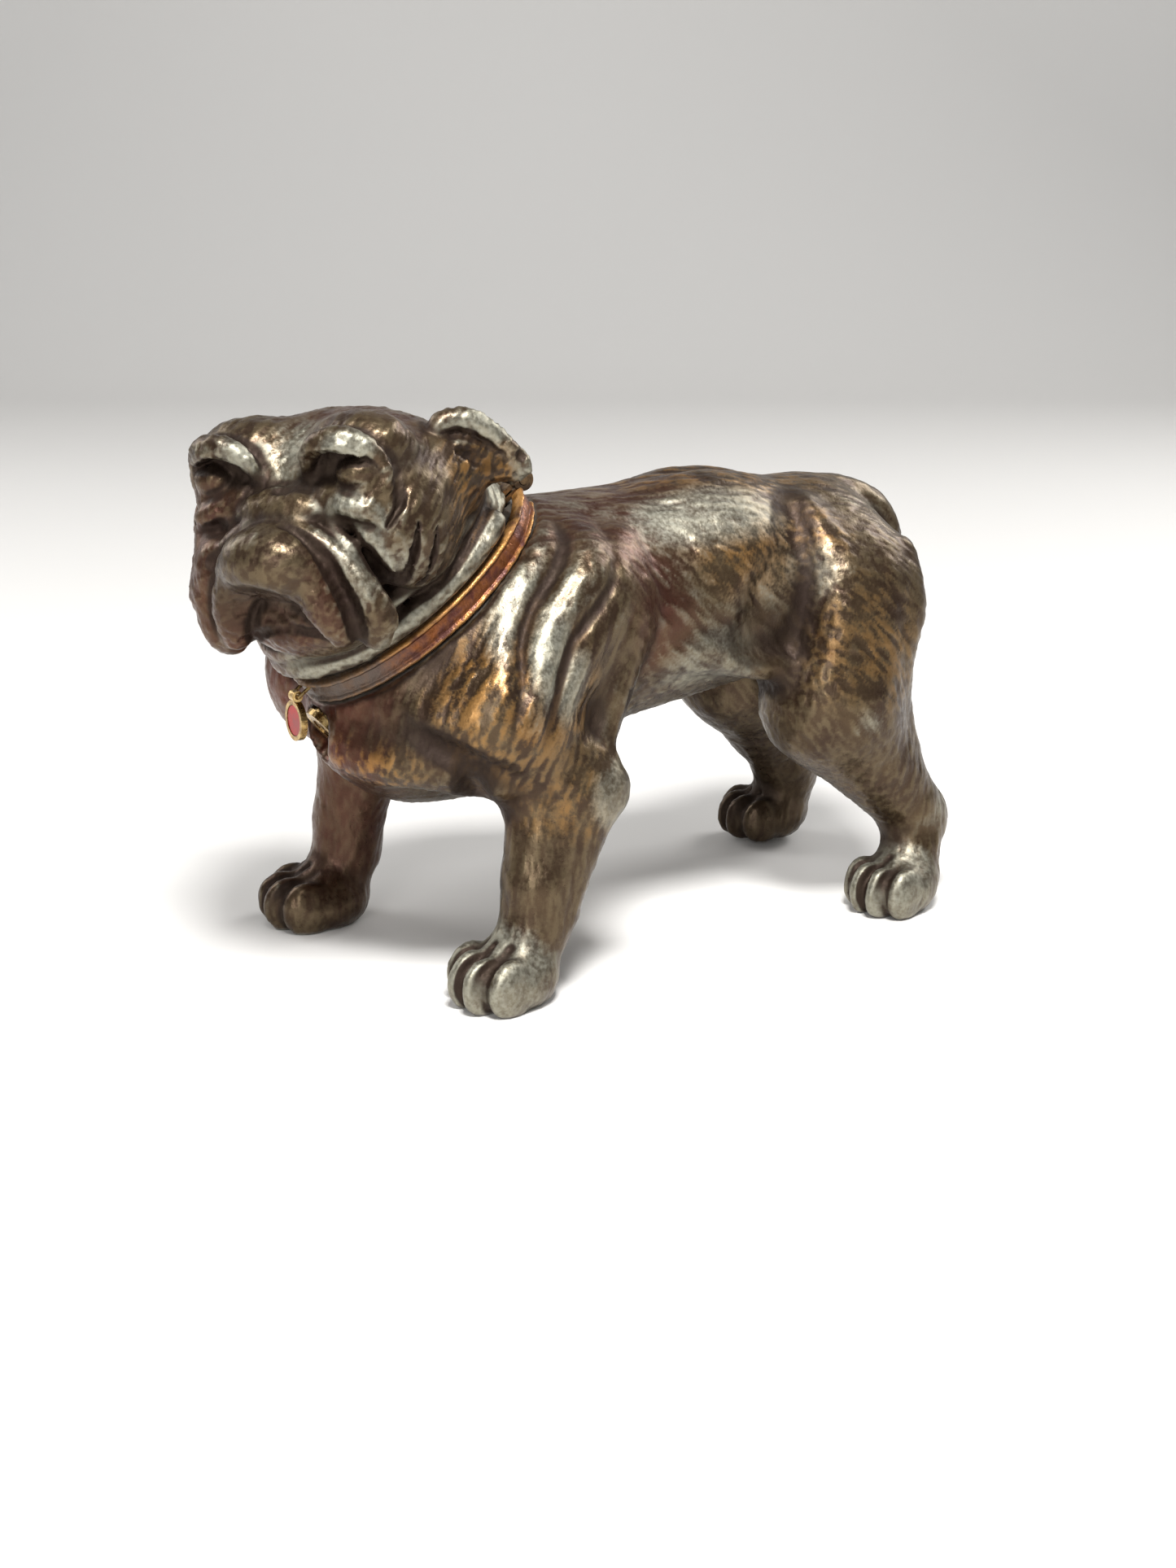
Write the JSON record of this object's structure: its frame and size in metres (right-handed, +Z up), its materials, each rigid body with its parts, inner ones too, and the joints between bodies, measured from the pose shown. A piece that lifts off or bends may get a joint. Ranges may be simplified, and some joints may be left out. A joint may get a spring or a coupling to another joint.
{
  "type": "figural animal coin bank",
  "caption": "Cast metal still bank shaped as a standing bulldog: hollow body with a coin slot in the back, hinged lift-back head, collar, throat lock and swinging collar tag.",
  "frame": {"origin": "on the ground plane, under the middle of the whole dog's bounding box", "axes": "+Z up, the dog faces -Y, +X is the dog's left"},
  "size_m": [0.0496, 0.1009, 0.0697],
  "materials": {
    "bronzed_casting": "cast white metal with a worn dark bronze cold patina, satin, rubbed pale on the high points",
    "collar_strap": "satin red-brown lacquer worn to gold along its edges",
    "brass": "aged, satin",
    "steel": "dull, lightly darkened",
    "red_enamel": "glossy dark red enamel"
  },
  "bodies": {
    "torso": {"body_casting": "bronzed_casting", "collar_band": "collar_strap", "tag_staple": "brass", "hinge_leaf_body": "brass", "hinge_pin": "steel", "leaf_screw_body_left": "brass", "leaf_screw_body_right": "brass", "lock_barrel": "brass", "lock_nut": "brass"},
    "head": {"head_casting": "bronzed_casting", "hinge_leaf_head": "brass", "leaf_screw_head_left": "brass", "leaf_screw_head_right": "brass", "lock_keeper": "steel", "keeper_screw_lower": "steel", "keeper_screw_upper": "steel"},
    "lock_core": {"lock_plug": "brass", "lock_cam": "steel", "cam_screw": "steel"},
    "tag": {"collar_tag": "brass", "tag_enamel": "red_enamel"}
  },
  "joints": [
    {"name": "head_hinge", "type": "hinge", "parent": "torso", "child": "head", "pos_m": [-0.001, -0.009, 0.05954], "axis": [-1, 0, 0], "range_deg": [0, 68]},
    {"name": "lock_turn", "type": "hinge", "parent": "torso", "child": "lock_core", "pos_m": [-0.001, -0.02754, 0.03617], "axis": [0, 0.788, 0.6157], "range_deg": [0, 90]},
    {"name": "tag_swing", "type": "hinge", "parent": "torso", "child": "tag", "pos_m": [-0.0003, -0.038, 0.03567], "axis": [-1, 0, 0], "range_deg": [0, 95]}
  ]
}
